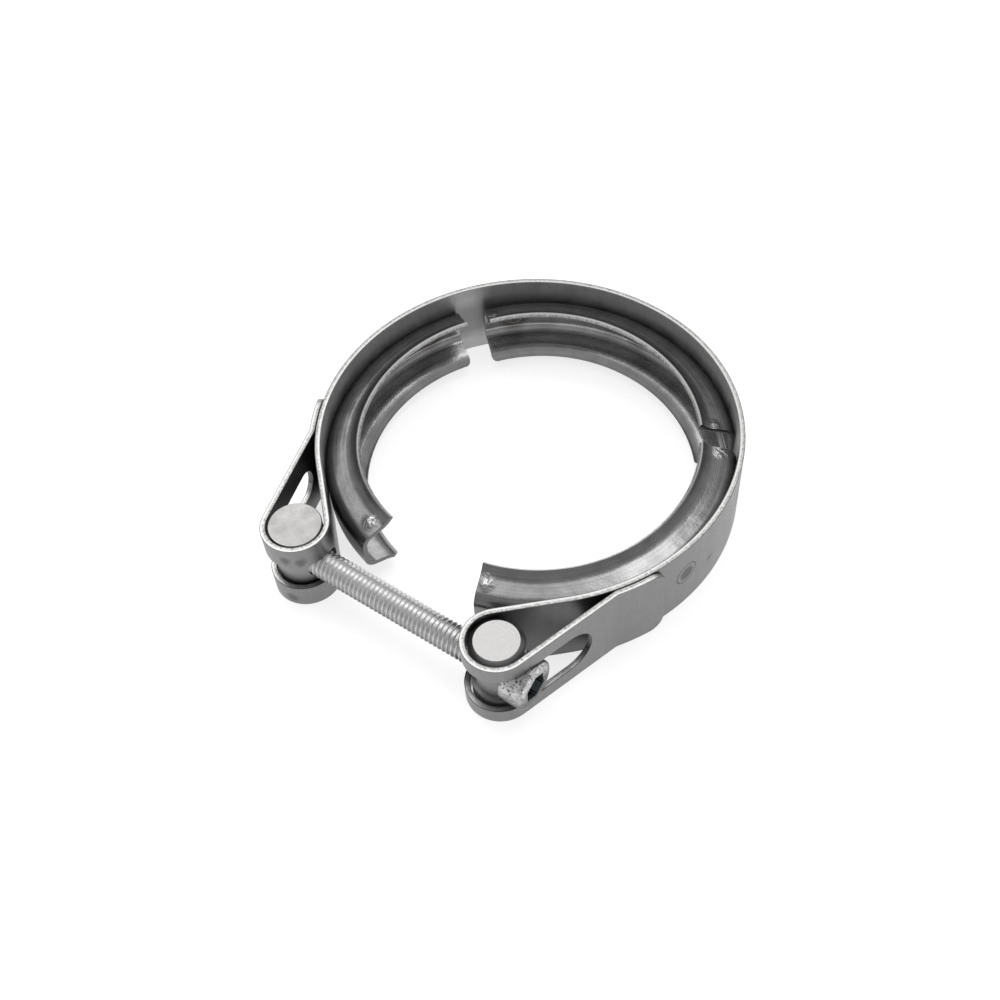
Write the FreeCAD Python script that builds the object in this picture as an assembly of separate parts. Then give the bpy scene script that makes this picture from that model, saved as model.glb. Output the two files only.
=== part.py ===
import FreeCAD, Part
import math
import os

from FreeCAD import Vector

# V-band clamp, millimetres. The origin is on the ring's axis, half-way up the strap. +Z is the ring's axis,
# the ring opens towards -Y, and the screw lies along X with its head at +X. Angles round the ring are
# counted in degrees from the opening, positive towards +X.

# strap: one folded strip
strap_outer_diameter = 85.6
strap_width = 17.5
strap_thickness = 1.1
tab_start_angle = 56.3          # where the strip, coming back from its loop, lies down on the ring
tab_length = 9.8                # strip end that lies on the ring, after its bend
tab_bend_radius = 2.5           # at the strip's middle
tab_corner_radius = 3.0
tab_gap = 0.15                  # between the ring and the tab, bridged by the spot welds
tab_weld_diameter = 4.0
tab_weld_spacing = 9.0

# trunnions in the loops
trunnion_diameter = 10.5
trunnion_inset = 0.2            # below the strap's edges, at each end
trunnion_x = 23.5
screw_standoff = 1.7            # screw's axis, out from the ring's front
trunnion_play = 0.35            # radial, between trunnion and loop

# nut trunnion, at -X
nut_edge_chamfer = 0.15
thread_running_clearance = 0.05

# seat trunnion, at +X
seat_end_chamfer = 1.0
waist_depth = 0.75
waist_margin = 0.2              # waist past the clearance hole, up and down
screw_hole_clearance = 0.4
seat_offset = 2.8               # flat under the screw head, from the trunnion's axis
spotface_clearance = 0.4

# screw, M6
screw_diameter = 6.0
screw_length = 55.0             # under the head
screw_tip_chamfer = 0.6
head_diameter = 10.0
head_height = 5.0
head_chamfer = 0.45
head_gap = 0.3                  # between the head and its seat
hex_across_flats = 5.0
hex_depth = 2.6

# slots in the loops
slot_end_play = 0.5             # past the shank, where the slot starts
nut_slot_width = 7.0
seat_slot_side_play = 0.2       # between the head and each edge of the seat slot
nut_slot_reach = 18.2           # along the outer leg, from the end of the wrap
seat_slot_reach = 16.5

# V segments, roll-formed
segment_thickness = 1.0
segment_depth = 7.3             # radial, from the ring's inside to the lips
crown_width = 7.4               # between the shoulders' corners, at the sheet's middle
shoulder_radius = 1.8
leg_angle = 14.0                # from the radial direction
lip_length = 1.8
lip_flare = 38.0                # on top of the leg's angle
lip_bend_radius = 1.3
lip_corner_radius = 1.4         # at both ends of the lower lip
segment_end_angles = {
    "v_segment_left": (-123.0, -20.8),
    "v_segment_back": (126.0, 228.8),
    "v_segment_right": (20.2, 118.8),
}

# spot welds between the crowns and the ring
weld_dent_diameter = 4.4
weld_dent_depth = 0.2
ring_weld_angles = {
    "v_segment_left": (-112.6, -77.0),
    "v_segment_back": (135.0, 178.0, 219.5),
    "v_segment_right": (78.0, 108.0),
}

# worked-out sizes
strap_outer_radius = strap_outer_diameter / 2
strap_inner_radius = strap_outer_radius - strap_thickness
strap_middle_radius = strap_outer_radius - strap_thickness / 2
tab_middle_radius = strap_outer_radius + tab_gap + strap_thickness / 2
trunnion_y = -(strap_outer_radius + screw_standoff)
trunnion_radius = trunnion_diameter / 2
trunnion_length = strap_width - 2 * trunnion_inset
loop_inner_radius = trunnion_radius + trunnion_play
loop_middle_radius = loop_inner_radius + strap_thickness / 2
loop_outer_radius = loop_inner_radius + strap_thickness
screw_radius = screw_diameter / 2
head_radius = head_diameter / 2
head_underside_x = trunnion_x + seat_offset + head_gap
seat_slot_width = head_diameter + 2 * seat_slot_side_play
segment_outer_radius = strap_inner_radius
segment_middle_radius = segment_outer_radius - segment_thickness / 2
lip_bore_radius = segment_outer_radius - segment_depth
cutter_margin = 1.0             # how far a cutter stands past what it cuts


def on_circle(centre, radius, degrees):
    """Point on a circle, the angle counted from +X."""
    turn = math.radians(degrees)
    return centre + Vector(radius * math.cos(turn), radius * math.sin(turn), 0)


def line(start, end):
    return {"start": start, "end": end}


def arc(centre, radius, first, last):
    """Arc from angle first to angle last, counter-clockwise when last is larger."""
    return {"centre": centre, "radius": radius, "first": first, "last": last}


def offset_edge(piece, left):
    """One piece of a path, moved to its left by the given distance."""
    if "start" in piece:
        along = (piece["end"] - piece["start"]).normalize()
        shift = Vector(-along.y, along.x, 0) * left
        return Part.LineSegment(piece["start"] + shift, piece["end"] + shift).toShape()
    turning = 1 if piece["last"] > piece["first"] else -1
    radius = piece["radius"] - turning * left
    middle = (piece["first"] + piece["last"]) / 2
    points = [on_circle(piece["centre"], radius, a) for a in (piece["first"], middle, piece["last"])]
    return Part.Arc(*points).toShape()


def strip_face(path, thickness):
    """Flat face as wide as the thickness, along a path of lines and arcs that join smoothly."""
    left_edges = [offset_edge(piece, thickness / 2) for piece in path]
    right_edges = [offset_edge(piece, -thickness / 2) for piece in path]
    start_cap = Part.makeLine(left_edges[0].firstVertex().Point, right_edges[0].firstVertex().Point)
    end_cap = Part.makeLine(left_edges[-1].lastVertex().Point, right_edges[-1].lastVertex().Point)
    edges = Part.__sortEdges__(left_edges + [end_cap] + right_edges + [start_cap])
    return Part.Face(Part.Wire(edges))


def leg_tangent_angle():
    """Where the strap leaves the ring to run straight to its loop, from the opening."""
    centre_distance = math.hypot(trunnion_x, trunnion_y)
    centre_angle = math.degrees(math.atan2(trunnion_x, -trunnion_y))
    reach = strap_middle_radius + loop_middle_radius
    return centre_angle + math.degrees(math.acos(reach / centre_distance))


def tab_bend_centre():
    """Centre of the bend where the outer leg turns to lie along the ring."""
    return on_circle(Vector(), tab_middle_radius + tab_bend_radius, tab_start_angle - 90)


def leg_lean():
    """How far the outer leg leans outwards from +Y, as the tangent from the loop to the tab's bend."""
    span = tab_bend_centre() - Vector(trunnion_x, trunnion_y, 0)
    turn = math.asin((loop_middle_radius + tab_bend_radius) / span.Length)
    return math.degrees(math.atan2(span.x, span.y) - turn)


def outer_leg():
    """Start, direction and outward normal of the outer leg at +X, at the strip's middle."""
    lean = math.radians(leg_lean())
    along = Vector(math.sin(lean), math.cos(lean), 0)
    outward = Vector(math.cos(lean), -math.sin(lean), 0)
    start = Vector(trunnion_x, trunnion_y, 0) + outward * loop_middle_radius
    return start, along, outward


def loop_path():
    """The strip's middle line at +X, from where it leaves the ring to the end of its tab."""
    centre = Vector(trunnion_x, trunnion_y, 0)
    tangent = leg_tangent_angle()
    towards_ring = on_circle(Vector(), 1, tangent - 90)
    leg_start, along, outward = outer_leg()
    bend_centre = tab_bend_centre()
    bend_start = bend_centre - outward * tab_bend_radius
    tab_start = tab_start_angle - 90
    tab_end = tab_start + math.degrees(tab_length / tab_middle_radius)
    return [
        line(towards_ring * strap_middle_radius, centre - towards_ring * loop_middle_radius),
        arc(centre, loop_middle_radius, tangent + 90, 360 - leg_lean()),
        line(leg_start, bend_start),
        arc(bend_centre, tab_bend_radius, 180 - leg_lean(), tab_start + 180),
        arc(Vector(), tab_middle_radius, tab_start, tab_end),
    ]


def mirrored(path):
    """The same path at -X, run the other way."""
    result = []
    for piece in reversed(path):
        if "start" in piece:
            start, end = piece["end"], piece["start"]
            result.append(line(Vector(-start.x, start.y, 0), Vector(-end.x, end.y, 0)))
        else:
            centre = Vector(-piece["centre"].x, piece["centre"].y, 0)
            result.append(arc(centre, piece["radius"], 180 - piece["last"], 180 - piece["first"]))
    return result


def box_along(start, along, outward, length, half_thickness, half_height):
    """Box on a leg: from start for the given length, thick outwards, high along Z."""
    corners = [
        start - outward * half_thickness,
        start + along * length - outward * half_thickness,
        start + along * length + outward * half_thickness,
        start + outward * half_thickness,
    ]
    corners = [corner - Vector(0, 0, half_height) for corner in corners]
    face = Part.Face(Part.makePolygon(corners + corners[:1]))
    return face.extrude(Vector(0, 0, 2 * half_height))


def slot_cutter(width, reach):
    """Slot at +X: from beside the shank, round the front of the loop and along the outer leg."""
    half = width / 2
    side = loop_outer_radius + cutter_margin
    start_y = trunnion_y - (half - screw_radius - slot_end_play)
    front_y = trunnion_y - side
    front = Part.makeBox(
        2 * side, start_y - front_y, width, Vector(trunnion_x - side, front_y, -half))
    start_round = Part.makeCylinder(half, side, Vector(trunnion_x - side, start_y, 0), Vector(1, 0, 0))
    leg_start, along, outward = outer_leg()
    thick = strap_thickness / 2 + cutter_margin
    back_up = half
    leg_slot = box_along(leg_start - along * back_up, along, outward, reach - half + back_up, thick, half)
    end_centre = leg_start + along * (reach - half) - outward * thick
    end_round = Part.makeCylinder(half, 2 * thick, end_centre, outward)
    return front.multiFuse([start_round, leg_slot, end_round])


def mirror_x(shape):
    return shape.mirror(Vector(), Vector(1, 0, 0))


def tab_corner_edges(strap):
    """The four short edges at the corners of the two tabs."""
    tab_end = math.radians(tab_start_angle - 90) + tab_length / tab_middle_radius
    found = []
    for edge in strap.Edges:
        middle = edge.CenterOfMass
        at_end = abs(abs(middle.x) - tab_middle_radius * math.cos(tab_end)) < strap_thickness / 2
        on_ring = abs(math.hypot(middle.x, middle.y) - tab_middle_radius) < strap_thickness / 4
        on_rim = abs(abs(middle.z) - strap_width / 2) < strap_thickness / 4
        if at_end and on_ring and on_rim and edge.Length < 2 * strap_thickness:
            found.append(edge)
    return found


def tab_welds():
    """Spot welds that bridge the gap between each tab and the ring."""
    middle = tab_start_angle - 90 + math.degrees(tab_length / tab_middle_radius) / 2
    welds = []
    for height in (-tab_weld_spacing / 2, tab_weld_spacing / 2):
        outward = on_circle(Vector(), 1, middle)
        root = outward * strap_middle_radius + Vector(0, 0, height)
        reach = tab_middle_radius - strap_middle_radius
        weld = Part.makeCylinder(tab_weld_diameter / 2, reach, root, outward)
        welds += [weld, mirror_x(weld)]
    return welds


def weld_dents(angles, radius, outwards):
    """Round dents that the welding tips leave on the outside of the strap or the inside of a crown."""
    dents = []
    for degrees in angles:
        outward = on_circle(Vector(), 1, degrees - 90)
        direction = outward if outwards else outward * -1
        floor = outward * radius - direction * weld_dent_depth
        dents.append(Part.makeCylinder(weld_dent_diameter / 2, cutter_margin, floor, direction))
    return dents


def make_strap():
    loop = loop_path()
    tangent = leg_tangent_angle()
    ring = arc(Vector(), strap_middle_radius, 270 - tangent, tangent - 90)
    face = strip_face(mirrored(loop) + [ring] + loop, strap_thickness)
    face.translate(Vector(0, 0, -strap_width / 2))
    strap = face.extrude(Vector(0, 0, strap_width))
    strap = strap.makeFillet(tab_corner_radius, tab_corner_edges(strap))
    nut_slot = mirror_x(slot_cutter(nut_slot_width, nut_slot_reach))
    seat_slot = slot_cutter(seat_slot_width, seat_slot_reach)
    angles = [a for group in ring_weld_angles.values() for a in group]
    strap = strap.cut([nut_slot, seat_slot] + weld_dents(angles, strap_outer_radius, True))
    return strap.multiFuse(tab_welds()).removeSplitter()


def segment_path():
    """Middle line of a segment's section, X along the ring's axis and Y outwards from it."""
    leg = math.radians(leg_angle)
    lip = math.radians(leg_angle + lip_flare)
    leg_along = Vector(math.sin(leg), -math.cos(leg), 0)
    lip_along = Vector(math.sin(lip), -math.cos(lip), 0)
    shoulder = Vector(crown_width / 2, segment_middle_radius, 0)
    lip_drop = lip_length * math.cos(lip)
    leg_length = (segment_middle_radius - lip_bore_radius - lip_drop) / math.cos(leg)
    knee = shoulder + leg_along * leg_length
    tip = knee + lip_along * (lip_length + segment_thickness)
    shoulder_cut = shoulder_radius * math.tan((math.pi / 2 - leg) / 2)
    knee_cut = lip_bend_radius * math.tan((lip - leg) / 2)
    shoulder_start = shoulder - Vector(shoulder_cut, 0, 0)
    knee_start = knee - leg_along * knee_cut
    leg_left = Vector(math.cos(leg), math.sin(leg), 0)
    upper = [
        arc(shoulder_start - Vector(0, shoulder_radius, 0), shoulder_radius, 90, leg_angle),
        line(shoulder + leg_along * shoulder_cut, knee_start),
        arc(knee_start + leg_left * lip_bend_radius, lip_bend_radius,
            180 + leg_angle, 180 + leg_angle + lip_flare),
        line(knee + lip_along * knee_cut, tip),
    ]
    crown = line(Vector(-shoulder_start.x, shoulder_start.y, 0), shoulder_start)
    return mirrored(upper) + [crown] + upper


def lip_corner_cutter(degrees, inwards):
    """Rounds off the lower lip's corner; inwards is 1 where the segment runs on counter-clockwise."""
    radial = on_circle(Vector(), 1, degrees - 90)
    into = on_circle(Vector(), 1, degrees) * inwards
    reach = lip_bore_radius + lip_corner_radius
    middle = radial * math.sqrt(reach ** 2 - lip_corner_radius ** 2) + into * lip_corner_radius
    corners = [
        middle,
        middle - into * (lip_corner_radius + cutter_margin),
        radial * (lip_bore_radius - cutter_margin) - into * cutter_margin,
        middle * ((lip_bore_radius - cutter_margin) / reach),
    ]
    wedge = Part.Face(Part.makePolygon(corners + corners[:1])).extrude(Vector(0, 0, -strap_width))
    return wedge.cut(Part.makeCylinder(lip_corner_radius, strap_width, middle, Vector(0, 0, -1)))


def make_segment(name):
    first, last = segment_end_angles[name]
    profile = strip_face(segment_path(), segment_thickness)
    profile.rotate(Vector(), Vector(1, 1, 1), -120)     # X goes to Z, and Y to X
    profile.rotate(Vector(), Vector(0, 0, 1), first - 90)
    body = profile.revolve(Vector(), Vector(0, 0, 1), last - first)
    bore = Part.makeCylinder(lip_bore_radius, 2 * strap_width, Vector(0, 0, -strap_width))
    corners = [lip_corner_cutter(first, 1), lip_corner_cutter(last, -1)]
    dents = weld_dents(ring_weld_angles[name], segment_outer_radius - segment_thickness, False)
    return body.cut([bore] + corners + dents).removeSplitter()


def upright_cylinder(x, radius, length, chamfer):
    body = Part.makeCylinder(radius, length, Vector(x, trunnion_y, -length / 2))
    rims = [e for e in body.Edges if abs(abs(e.CenterOfMass.z) - length / 2) < 0.01]
    return body.makeChamfer(chamfer, [e for e in rims if e.Closed])


def screw_cylinder(radius, start_x, end_x):
    return Part.makeCylinder(radius, end_x - start_x, Vector(start_x, trunnion_y, 0), Vector(1, 0, 0))


def make_nut_trunnion():
    body = upright_cylinder(-trunnion_x, trunnion_radius, trunnion_length, nut_edge_chamfer)
    reach = trunnion_radius + cutter_margin
    bore = screw_cylinder(screw_radius + thread_running_clearance, -trunnion_x - reach, -trunnion_x + reach)
    return body.cut(bore)


def make_seat_trunnion():
    body = upright_cylinder(trunnion_x, trunnion_radius, trunnion_length, seat_end_chamfer)
    hole_radius = screw_radius + screw_hole_clearance
    reach = trunnion_radius + cutter_margin
    waist_height = 2 * (hole_radius + waist_margin)
    base = Vector(trunnion_x, trunnion_y, -waist_height / 2)
    waist_ring = Part.makeCylinder(reach, waist_height, base)
    waist_ring = waist_ring.cut(Part.makeCylinder(trunnion_radius - waist_depth, waist_height, base))
    hole = screw_cylinder(hole_radius, trunnion_x - reach, trunnion_x + reach)
    spotface_radius = head_radius + spotface_clearance
    spotface = screw_cylinder(spotface_radius, trunnion_x + seat_offset, trunnion_x + reach)
    return body.cut([waist_ring, hole, spotface])


def make_screw():
    tip_x = head_underside_x - screw_length
    face_x = head_underside_x + head_height
    shank = screw_cylinder(screw_radius, tip_x, head_underside_x)
    tip_rim = [e for e in shank.Edges if e.Closed and abs(e.CenterOfMass.x - tip_x) < 0.01]
    shank = shank.makeChamfer(screw_tip_chamfer, tip_rim)
    head = screw_cylinder(head_radius, head_underside_x, face_x)
    face_rim = [e for e in head.Edges if e.Closed and abs(e.CenterOfMass.x - face_x) < 0.01]
    head = head.makeChamfer(head_chamfer, face_rim)
    corner_radius = hex_across_flats / 2 / math.cos(math.radians(30))
    corners = []
    for k in range(6):
        turn = math.radians(60 * k)
        y = trunnion_y + corner_radius * math.sin(turn)
        corners.append(Vector(face_x - hex_depth, y, corner_radius * math.cos(turn)))
    outline = Part.Face(Part.makePolygon(corners + corners[:1]))
    socket = outline.extrude(Vector(hex_depth + cutter_margin, 0, 0))
    return shank.fuse(head).cut(socket).removeSplitter()


def main():
    os.makedirs("parts", exist_ok=True)
    nodes = {
        "clamp_strap": make_strap(),
        "nut_trunnion": make_nut_trunnion(),
        "seat_trunnion": make_seat_trunnion(),
        "clamp_screw": make_screw(),
    }
    for name in segment_end_angles:
        nodes[name] = make_segment(name)
    for name, shape in nodes.items():
        print(name, "solids", len(shape.Solids), "valid", shape.isValid(), "volume", round(shape.Volume, 2))
        shape.exportStep("parts/" + name + ".step")


main()
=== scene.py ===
import bisect
import math

import bmesh
import bpy
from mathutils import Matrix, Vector


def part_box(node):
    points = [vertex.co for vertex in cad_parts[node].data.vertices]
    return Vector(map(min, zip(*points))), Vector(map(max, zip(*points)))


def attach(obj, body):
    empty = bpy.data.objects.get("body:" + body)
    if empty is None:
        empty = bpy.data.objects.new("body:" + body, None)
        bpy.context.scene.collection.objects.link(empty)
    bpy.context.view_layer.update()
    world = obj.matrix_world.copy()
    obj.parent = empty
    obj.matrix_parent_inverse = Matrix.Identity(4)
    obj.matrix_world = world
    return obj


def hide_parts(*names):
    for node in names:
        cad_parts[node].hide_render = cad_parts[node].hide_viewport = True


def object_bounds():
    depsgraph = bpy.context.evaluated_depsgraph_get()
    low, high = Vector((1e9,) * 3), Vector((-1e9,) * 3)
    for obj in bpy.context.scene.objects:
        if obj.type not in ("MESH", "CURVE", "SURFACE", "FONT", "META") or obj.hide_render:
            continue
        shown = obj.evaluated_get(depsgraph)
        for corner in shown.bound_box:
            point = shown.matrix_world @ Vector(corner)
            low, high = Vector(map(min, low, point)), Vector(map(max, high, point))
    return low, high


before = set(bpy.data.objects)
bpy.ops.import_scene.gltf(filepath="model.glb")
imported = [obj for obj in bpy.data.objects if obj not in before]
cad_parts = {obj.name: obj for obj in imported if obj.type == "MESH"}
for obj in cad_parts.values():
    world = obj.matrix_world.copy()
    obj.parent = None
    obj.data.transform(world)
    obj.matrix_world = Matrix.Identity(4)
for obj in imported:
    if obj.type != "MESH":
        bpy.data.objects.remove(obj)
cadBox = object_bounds()
mm = 0.001      # sizes are in millimetres and degrees where no note says otherwise


def hexColour(code):
    # sRGB hex to the linear values that nodes take
    parts = [int(code[i:i + 2], 16) / 255 for i in (1, 3, 5)]
    return [p / 12.92 if p <= 0.04045 else ((p + 0.055) / 1.055) ** 2.4 for p in parts] + [1.0]


def addNode(tree, kind, inputs=(), **settings):
    # inputs in order or by name: each a plain value, an output, or a node for its first output
    node = tree.nodes.new(kind)
    for name, value in settings.items():
        setattr(node, name, value)
    for key, value in inputs.items() if isinstance(inputs, dict) else enumerate(inputs):
        if isinstance(value, bpy.types.Node):
            value = value.outputs[0]
        if isinstance(value, bpy.types.NodeSocket):
            tree.links.new(value, node.inputs[key])
        else:
            node.inputs[key].default_value = value
    return node


def boxOf(node):
    # lowest and highest corner of a CAD node, in millimetres
    return [Vector(corner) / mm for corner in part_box(node)]


def onRing(radius, degrees, height=0.0):
    # angles are counted from the opening, positive towards the screw's head
    turn = math.radians(degrees)
    return Vector((radius * math.sin(turn), -radius * math.cos(turn), height))


ringOuter = boxOf("clamp_strap")[1].y
halfWidth = boxOf("clamp_strap")[1].z
seatLow, seatHigh = boxOf("seat_trunnion")
screwLow, screwHigh = boxOf("clamp_screw")
screwY = (screwLow.y + screwHigh.y) / 2

# camera, light and floor; places of lamps in metres
view = {"place": (101.71, -138.31, 203.91), "turn": (38.054, 2.801, 35.036), "lens": 46.8, "sensor": 36.0,
        "clipStart": 0.01}

cameraData = bpy.data.cameras.new("camera")
cameraData.lens = view["lens"]
cameraData.sensor_width = view["sensor"]
cameraData.clip_start = view["clipStart"]
camera = bpy.data.objects.new("camera", cameraData)
camera.location = Vector(view["place"]) * mm
camera.rotation_euler = [math.radians(a) for a in view["turn"]]
bpy.context.scene.collection.objects.link(camera)
bpy.context.scene.camera = camera

lamps = {
    "topSoftbox": {"place": (-0.38, 0.39, 1.07), "size": (1.25, 1.25), "watts": 7.4},
    "backStrip": {"place": (-0.6, 0.3, 0.75), "size": (0.08, 0.8), "watts": 0.9},
    "rightPanel": {"place": (0.17, 0.44, 1.08), "size": (0.3, 0.4), "watts": 1.2},
}
for lampName, lamp in lamps.items():
    light = bpy.data.lights.new(lampName, "AREA")
    light.shape = "RECTANGLE"
    light.size, light.size_y = lamp["size"]
    light.energy = lamp["watts"]
    holder = bpy.data.objects.new(lampName, light)
    holder.location = lamp["place"]
    holder.rotation_euler = (-Vector(lamp["place"])).to_track_quat("-Z", "Y").to_euler()
    bpy.context.scene.collection.objects.link(holder)

studio = {"walls": "#c8c8c8", "wallLevel": 1.0, "floor": "#b0b0b0", "glow": 0.75, "reach": 6.0}

world = bpy.data.worlds.new("studio")
world.use_nodes = True
bpy.context.scene.world = world
world.node_tree.nodes["Background"].inputs["Color"].default_value = hexColour(studio["walls"])
world.node_tree.nodes["Background"].inputs["Strength"].default_value = studio["wallLevel"]

# painted board, with its own white added for the eye and for reflections, so that the shadow stays
boardPaint = bpy.data.materials.new("paintedBoard")
boardPaint.use_nodes = True
tree = boardPaint.node_tree
tree.nodes.clear()
rays = addNode(tree, "ShaderNodeLightPath")
seen = addNode(tree, "ShaderNodeMath", [rays.outputs["Is Camera Ray"], rays.outputs["Is Glossy Ray"]],
               operation="ADD")
seen = addNode(tree, "ShaderNodeMath", [seen, rays.outputs["Is Transmission Ray"]],
               operation="ADD", use_clamp=True)
glow = addNode(tree, "ShaderNodeMath", [seen, studio["glow"]], operation="MULTIPLY")
white = addNode(tree, "ShaderNodeEmission", {"Color": (1, 1, 1, 1), "Strength": glow})
paint = addNode(tree, "ShaderNodeBsdfDiffuse", {"Color": hexColour(studio["floor"])})
both = addNode(tree, "ShaderNodeAddShader", [paint, white])
addNode(tree, "ShaderNodeOutputMaterial", {"Surface": both})

floorMesh = bpy.data.meshes.new("floor")
floorMesh.from_pydata([(x * studio["reach"], y * studio["reach"], cadBox[0][2])
                       for x, y in ((-1, -1), (1, -1), (1, 1), (-1, 1))], [], [(0, 1, 2, 3)])
floorMesh.materials.append(boardPaint)
floor = bpy.data.objects.new("floor", floorMesh)
bpy.context.scene.collection.objects.link(floor)
bpy.context.scene.view_settings.view_transform = "Standard"
print("studio ready")


# places that the finishes mark, in millimetres and degrees
marks = {
    "strapRadius": ringOuter, "crownRadius": ringOuter - 2.1, "foldStart": -24.5,
    "welds": (-112.6, -77.0, 135.0, 178.0, 219.5, 78.0, 108.0),
    "tools": ((36.0, 21.6, 5.6), (36.8, -21.7, 5.6), (37.1, 127.0, 5.6),      # radius, angle, height
              (38.5, 117.5, 5.6), (36.4, 227.0, 6.0)),
    "knocks": ((-21.1, -50.8, 5.8), (-21.8, -51.0, -6.7), (-18.7, -49.2, 5.1), (42.8, -1.5, -1.9)),
}


def startMaterial(name, source):
    # an empty material, its tree and the coordinates that its patterns read
    material = bpy.data.materials.new(name)
    material.use_nodes = True
    tree = material.node_tree
    tree.nodes.clear()
    if source == "flat":    # the sheet's own coordinates, as it was before it was bent
        place = addNode(tree, "ShaderNodeAttribute", attribute_name="flat").outputs["Vector"]
    else:
        place = addNode(tree, "ShaderNodeTexCoord").outputs["Object"]
    return material, tree, place


def finishMaterial(tree, colour, roughness, bumps):
    # bumps is a list of (height socket, distance in millimetres)
    normal = None
    for height, distance in bumps:
        inputs = {"Height": height, "Strength": 1.0, "Distance": distance * mm}
        if normal:
            inputs["Normal"] = normal
        normal = addNode(tree, "ShaderNodeBump", inputs).outputs["Normal"]
    shader = addNode(tree, "ShaderNodeBsdfPrincipled", {
        "Base Color": colour, "Metallic": 1.0, "Roughness": roughness, "Normal": normal})
    addNode(tree, "ShaderNodeOutputMaterial", {"Surface": shader})


def nearest(tree, points):
    # distance from the surface to the nearest of some points, in metres
    where = addNode(tree, "ShaderNodeTexCoord").outputs["Object"]
    found = None
    for point in points:
        away = addNode(tree, "ShaderNodeVectorMath", [where, point * mm], operation="DISTANCE")
        away = away.outputs["Value"]
        if found:
            away = addNode(tree, "ShaderNodeMath", [found, away], operation="MINIMUM").outputs[0]
        found = away
    return found


# cold-rolled stainless strip with a matt mill finish: even mid grey, faint cloudy mottling and fine grain
# real grain is about 0.05 mm and wouldn't show, so it is drawn coarser
stripLook = {
    "dark": "#777777", "pale": "#929292", "rough": (0.34, 0.48), "roughInside": 0.18,
    "cloud": 4.0, "grain": 0.4, "stain": (900, 0, 60),
    "shares": (0.45, 0.35, 0.2),        # of cloud, grain and stain in the tone
    "dent": (1.2, 2.0), "dentTone": 0.45, "halo": (2.55, 0.14), "haloTone": 0.4,
    # the ring's inside gets painted light: where it starts, the heights of its palest band and how much
    # paler it is
    "insideRadius": (41.8, 42.0), "paintedLightHeights": (3.0, 6.0), "inside": (1.3, 2.0),
    # folded is the painted shade inside the strip's loops
    "outerSkin": 0.3, "folded": 0.6, "knock": 0.58, "knockSize": (1.8, 2.7), "knockRagged": 2.4,
}
millFinish, tree, flat = startMaterial("millFinishStrip", "flat")
cloud = addNode(tree, "ShaderNodeTexNoise", {
    "Vector": flat, "Scale": 1000 / stripLook["cloud"], "Detail": 5.0, "Roughness": 0.6})
grain = addNode(tree, "ShaderNodeTexNoise", {
    "Vector": flat, "Scale": 1000 / stripLook["grain"], "Detail": 3.0, "Roughness": 0.7})
across = addNode(tree, "ShaderNodeMapping", {"Vector": flat, "Scale": stripLook["stain"]})
stain = addNode(tree, "ShaderNodeTexNoise", {"Vector": across, "Scale": 1.0, "Detail": 2.0})
tone = addNode(tree, "ShaderNodeMath", [cloud, stripLook["shares"][0]], operation="MULTIPLY")
tone = addNode(tree, "ShaderNodeMath", [grain, stripLook["shares"][1], tone], operation="MULTIPLY_ADD")
tone = addNode(tree, "ShaderNodeMath", [stain, stripLook["shares"][2], tone], operation="MULTIPLY_ADD")
tone = addNode(tree, "ShaderNodeMapRange", {
    "Value": tone, "From Min": 0.3, "From Max": 0.7, "To Min": 0.0, "To Max": 1.0})
plain = addNode(tree, "ShaderNodeMix", {
    "Factor": tone, 6: hexColour(stripLook["dark"]), 7: hexColour(stripLook["pale"])},
    data_type="RGBA")
weld = nearest(tree, [onRing(marks["strapRadius"], a, 0.9) for a in marks["welds"]])
dent = addNode(tree, "ShaderNodeMapRange", {    # floor of the dent is 0, the strap round it 1
    "Value": weld, "From Min": stripLook["dent"][0] * mm, "From Max": stripLook["dent"][1] * mm,
    "To Min": 0.0, "To Max": 1.0}, interpolation_type="SMOOTHSTEP")
halo = addNode(tree, "ShaderNodeMath", [
    weld, stripLook["halo"][0] * mm, stripLook["halo"][1] * mm], operation="COMPARE")
halo = addNode(tree, "ShaderNodeMapRange", {"Value": halo, "To Min": 1.0, "To Max": stripLook["haloTone"]})
dim = addNode(tree, "ShaderNodeMapRange", {"Value": dent, "To Min": stripLook["dentTone"], "To Max": 1.0})
shade = addNode(tree, "ShaderNodeMath", [halo, dim], operation="MULTIPLY")
where = addNode(tree, "ShaderNodeTexCoord").outputs["Object"]
level = addNode(tree, "ShaderNodeVectorMath", [where, (1, 1, 0)], operation="MULTIPLY")
level = addNode(tree, "ShaderNodeVectorMath", [level], operation="LENGTH")
inside = addNode(tree, "ShaderNodeMapRange", {      # painted light: the ring's inside is drawn paler
    "Value": level.outputs["Value"], "From Min": stripLook["insideRadius"][0] * mm,
    "From Max": stripLook["insideRadius"][1] * mm, "To Min": 1.0, "To Max": 0.0})
where = addNode(tree, "ShaderNodeSeparateXYZ", [where])
height = addNode(tree, "ShaderNodeMath", [where.outputs["Z"]], operation="ABSOLUTE")
paintedInsideLight = addNode(tree, "ShaderNodeMapRange", {     # painted light, palest above and below the segments
    "Value": height, "From Min": stripLook["paintedLightHeights"][0] * mm, "From Max": stripLook["paintedLightHeights"][1] * mm,
    "To Min": stripLook["inside"][0], "To Max": stripLook["inside"][1]})
inner = addNode(tree, "ShaderNodeMix", {"Factor": inside, 2: 1.0, 3: paintedInsideLight}, data_type="FLOAT")
shade = addNode(tree, "ShaderNodeMath", [shade, inside], operation="MAXIMUM")
shade = addNode(tree, "ShaderNodeMath", [shade, inner], operation="MULTIPLY")
folded = addNode(tree, "ShaderNodeMath", [where.outputs["Y"], marks["foldStart"] * mm],
                 operation="LESS_THAN")
turnedIn = addNode(tree, "ShaderNodeSeparateXYZ", [flat])
turnedIn = addNode(tree, "ShaderNodeMath", [
    turnedIn.outputs["Y"], stripLook["outerSkin"] * mm], operation="GREATER_THAN")
folded = addNode(tree, "ShaderNodeMath", [folded, turnedIn], operation="MULTIPLY")
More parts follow.
